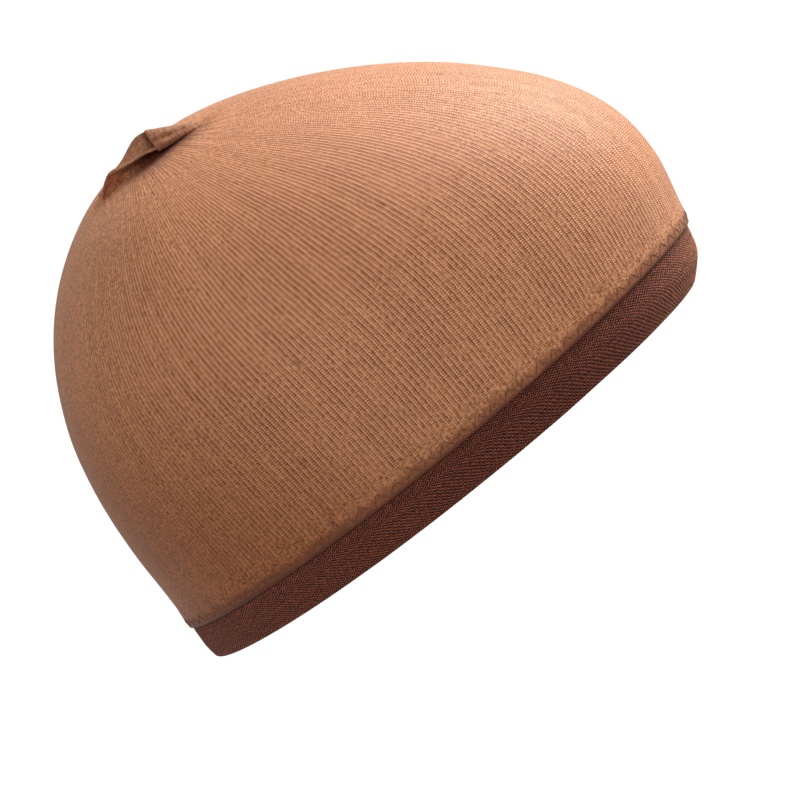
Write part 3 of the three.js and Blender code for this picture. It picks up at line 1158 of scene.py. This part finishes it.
# %% [markdown]
# ## The band's finish
#
# The material follows the same courses as the modelled ridges: light threads on top of them, and between
# them dark pinholes, whose columns stand half a step aside in every second row. A straight line crosses
# them every three millimetres, one light thread with its shadow beside it. The elastic is matt and a
# little furry, so it turns pale where it is seen edge-on. That is sheen, and it belongs to the shader.
# Towards the front the threads are also painted lighter: that is painted light, for the light and sheen
# that fall there.

# %% Node group: elastic weave
elastic_group, take, give = new_group(
    "elastic weave",
    [("Cloth", PLACE), ("Courses", NUMBER), ("Lines", NUMBER), ("Wave", NUMBER)],
    [("Light", NUMBER)],
)
w = Wiring(elastic_group)
across, upward, _ = w.split(take["Cloth"])
lines = w.times(across, take["Lines"])
swing = w.math("SINE", w.times(upward, 2 * math.pi * 1.5))
swing = w.math("SINE", w.times(w.total(w.times(lines, 2), (swing, 0.4)), 2 * math.pi))
turns = w.times(upward, take["Courses"])
turns = w.math("MULTIPLY_ADD", swing, take["Wave"], turns)
looseness = w.noise(w.join(w.times(lines, 1.6), w.times(turns, 0.9)), 1.0, 2)
turns = w.total(turns, (w.centred(looseness), 0.6))
threads = w.wave(turns, 0, 3)
row_number = w.math("FLOOR", turns)
stagger = w.times(row_number, 0.5)
pinholes = w.wave(w.math("MULTIPLY_ADD", lines, 4, stagger), 0, 1.2)
pinholes = w.times(pinholes, w.math("SUBTRACT", 1, threads))
bent = w.total(lines, (w.centred(looseness), 0.12))
line = w.wave(bent, 0, 30)
shadow = w.wave(bent, -0.1, 30)
light = w.total(0.02, (threads, 1.6), (pinholes, -0.55), (line, 0.3), (shadow, -0.5))
w.feed(give["Light"], light)
print("nodes in the elastic group:", len(elastic_group.nodes))

# %% Material: band elastic
BAND_TONES = SimpleNamespace(
    thread=(0.41, 0.100, 0.047, 1), front_painted_light=(0.95, 0.37, 0.18, 1), hole=(0.012, 0.0015, 0.001, 1),
)
elastic, w, shader = new_material("band elastic", 0.85, 0.16, (0.9, 0.42, 0.28, 1))
cloth = w.cloth()
place = w.place()
weave = place_group(
    w, elastic_group, Cloth=cloth, Courses=COURSES, Lines=CROSS_LINES, Wave=COURSE_WAVE,
)
grain = w.noise(place, 900, 2)
patches = w.noise(place, 60, 2)
light = w.total(weave["Light"], (w.centred(grain), 0.35))
light = w.total(light, (w.centred(patches), 0.25))
# Painted light: threads towards the front are painted lighter, for the light and sheen that fall there
forward = w.ramp(w.split(place)[1], -0.045, -0.092)
thread_tone = w.colours(forward, BAND_TONES.thread, BAND_TONES.front_painted_light)
w.feed(shader.inputs["Base Color"], w.colours(light, BAND_TONES.hole, thread_tone))
bump(w, shader, light, 0.12 * MM)
band.data.materials.append(elastic)

# %% [markdown]
# ## The thread's finish
#
# The zigzag is a spun thread, a shade darker than the hem it lies on, with a faint twist along it.

# %% Material: sewing thread
THREAD_TONES = SimpleNamespace(dark=(0.085, 0.024, 0.011, 1), light=(0.24, 0.08, 0.036, 1))
thread_finish, w, shader = new_material("sewing thread", 0.65, 0.06, (1.0, 0.6, 0.4, 1))
place = w.place()
twist = w.noise(place, 1800, 2)
w.feed(shader.inputs["Base Color"], w.colours(twist, THREAD_TONES.dark, THREAD_TONES.light))
bump(w, shader, twist, 0.05 * MM)
thread.data.materials.append(thread_finish)

# %% [markdown]
# ## Joining the pieces to the frame
#
# Each piece rides on the model's one body and stands for the plain solid that it dresses. The crown and
# the band are sheets of cloth, cut before they were stretched from a stocking tube 40 cm round and 14 cm
# long, and from a strip of elastic 42 cm long and 34 mm wide that is folded double to the band's
# width.

# %% Ride and replace
for piece in (crown, band, thread, folds, curl):
    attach(piece, "root")
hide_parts("crown")
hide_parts("band")
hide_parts("closing_seam")

# %% [markdown]
# ## Floor, light and camera
#
# The cap is held up in its worn form, so the pale floor lies well below it and doesn't show in this
# view. The studio is plain: a large soft panel overhead, a little in front of the cap and to its far
# side, makes the crown's top bright and lets the side that we see fall off into warm half light. A weak
# panel on the camera's side keeps that side open. The surroundings look white, and light the cap dimly.

# %% Floor and surroundings
FLOOR_DROP = 0.9
FLOOR_RADIUS = 1.6
deselect_all()
bpy.ops.mesh.primitive_circle_add(
    vertices=96, radius=FLOOR_RADIUS, fill_type="NGON", location=(0, 0, cad_low.z - FLOOR_DROP)
)
floor = bpy.context.object
floor.name = "floor"
pale = bpy.data.materials.new("pale floor")
pale.use_nodes = True
pale_shader = node_of_kind(pale.node_tree, "BSDF_PRINCIPLED")
pale_shader.inputs["Base Color"].default_value = (0.8, 0.8, 0.8, 1)
pale_shader.inputs["Roughness"].default_value = 0.9
floor.data.materials.append(pale)

SURROUNDINGS_LIGHT = 0.42
SURROUNDINGS_SEEN = 1.05
world = bpy.data.worlds.new("studio")
bpy.context.scene.world = world
world.use_nodes = True
w = Wiring(world.node_tree)
dim = node_of_kind(world.node_tree, "BACKGROUND")
dim.inputs["Color"].default_value = (1, 1, 1, 1)
dim.inputs["Strength"].default_value = SURROUNDINGS_LIGHT
white = w.node("ShaderNodeBackground")
white.inputs["Color"].default_value = (1, 1, 1, 1)
white.inputs["Strength"].default_value = SURROUNDINGS_SEEN
choice = w.node("ShaderNodeMixShader")
w.feed(choice.inputs[0], w.node("ShaderNodeLightPath").outputs["Is Camera Ray"])
w.feed(choice.inputs[1], dim.outputs[0])
w.feed(choice.inputs[2], white.outputs[0])
outlet = node_of_kind(world.node_tree, "OUTPUT_WORLD")
w.feed(outlet.inputs["Surface"], choice.outputs[0])
bpy.context.scene.view_settings.view_transform = "Standard"

# %% Light
AIM = Vector((0, 0.016, 0.020))


def add_panel(name, direction, distance, size, power):
    """A soft square panel that faces the middle of the cap."""
    position = AIM + distance * Vector(direction).normalized()
    deselect_all()
    bpy.ops.object.light_add(type="AREA", location=position)
    panel = bpy.context.object
    panel.name = name
    panel.data.size = size
    panel.data.energy = power
    panel.rotation_mode = "QUATERNION"
    panel.rotation_quaternion = (AIM - position).to_track_quat("-Z", "Y")


add_panel("overhead_panel", (0.32, -0.33, 0.89), 1.1, 0.9, 23.5)
add_panel("side_panel", (-0.80, 0.25, 0.30), 1.5, 0.9, 6.5)

# %% Camera
CAMERA_RISE = math.radians(6.3)
CAMERA_DISTANCE = 1.4
VIEW_WIDTH = 0.232
SENSOR_WIDTH = 36
deselect_all()
bpy.ops.object.camera_add(
    location=AIM + CAMERA_DISTANCE * Vector((-math.cos(CAMERA_RISE), 0, math.sin(CAMERA_RISE)))
)
camera = bpy.context.object
camera.name = "camera"
camera.data.sensor_width = SENSOR_WIDTH
camera.data.lens = camera.data.sensor_width * CAMERA_DISTANCE / VIEW_WIDTH
camera.rotation_mode = "QUATERNION"
camera.rotation_quaternion = (AIM - camera.location).to_track_quat("-Z", "Y")
bpy.context.scene.camera = camera
print("lens in mm:", round(camera.data.lens, 1))
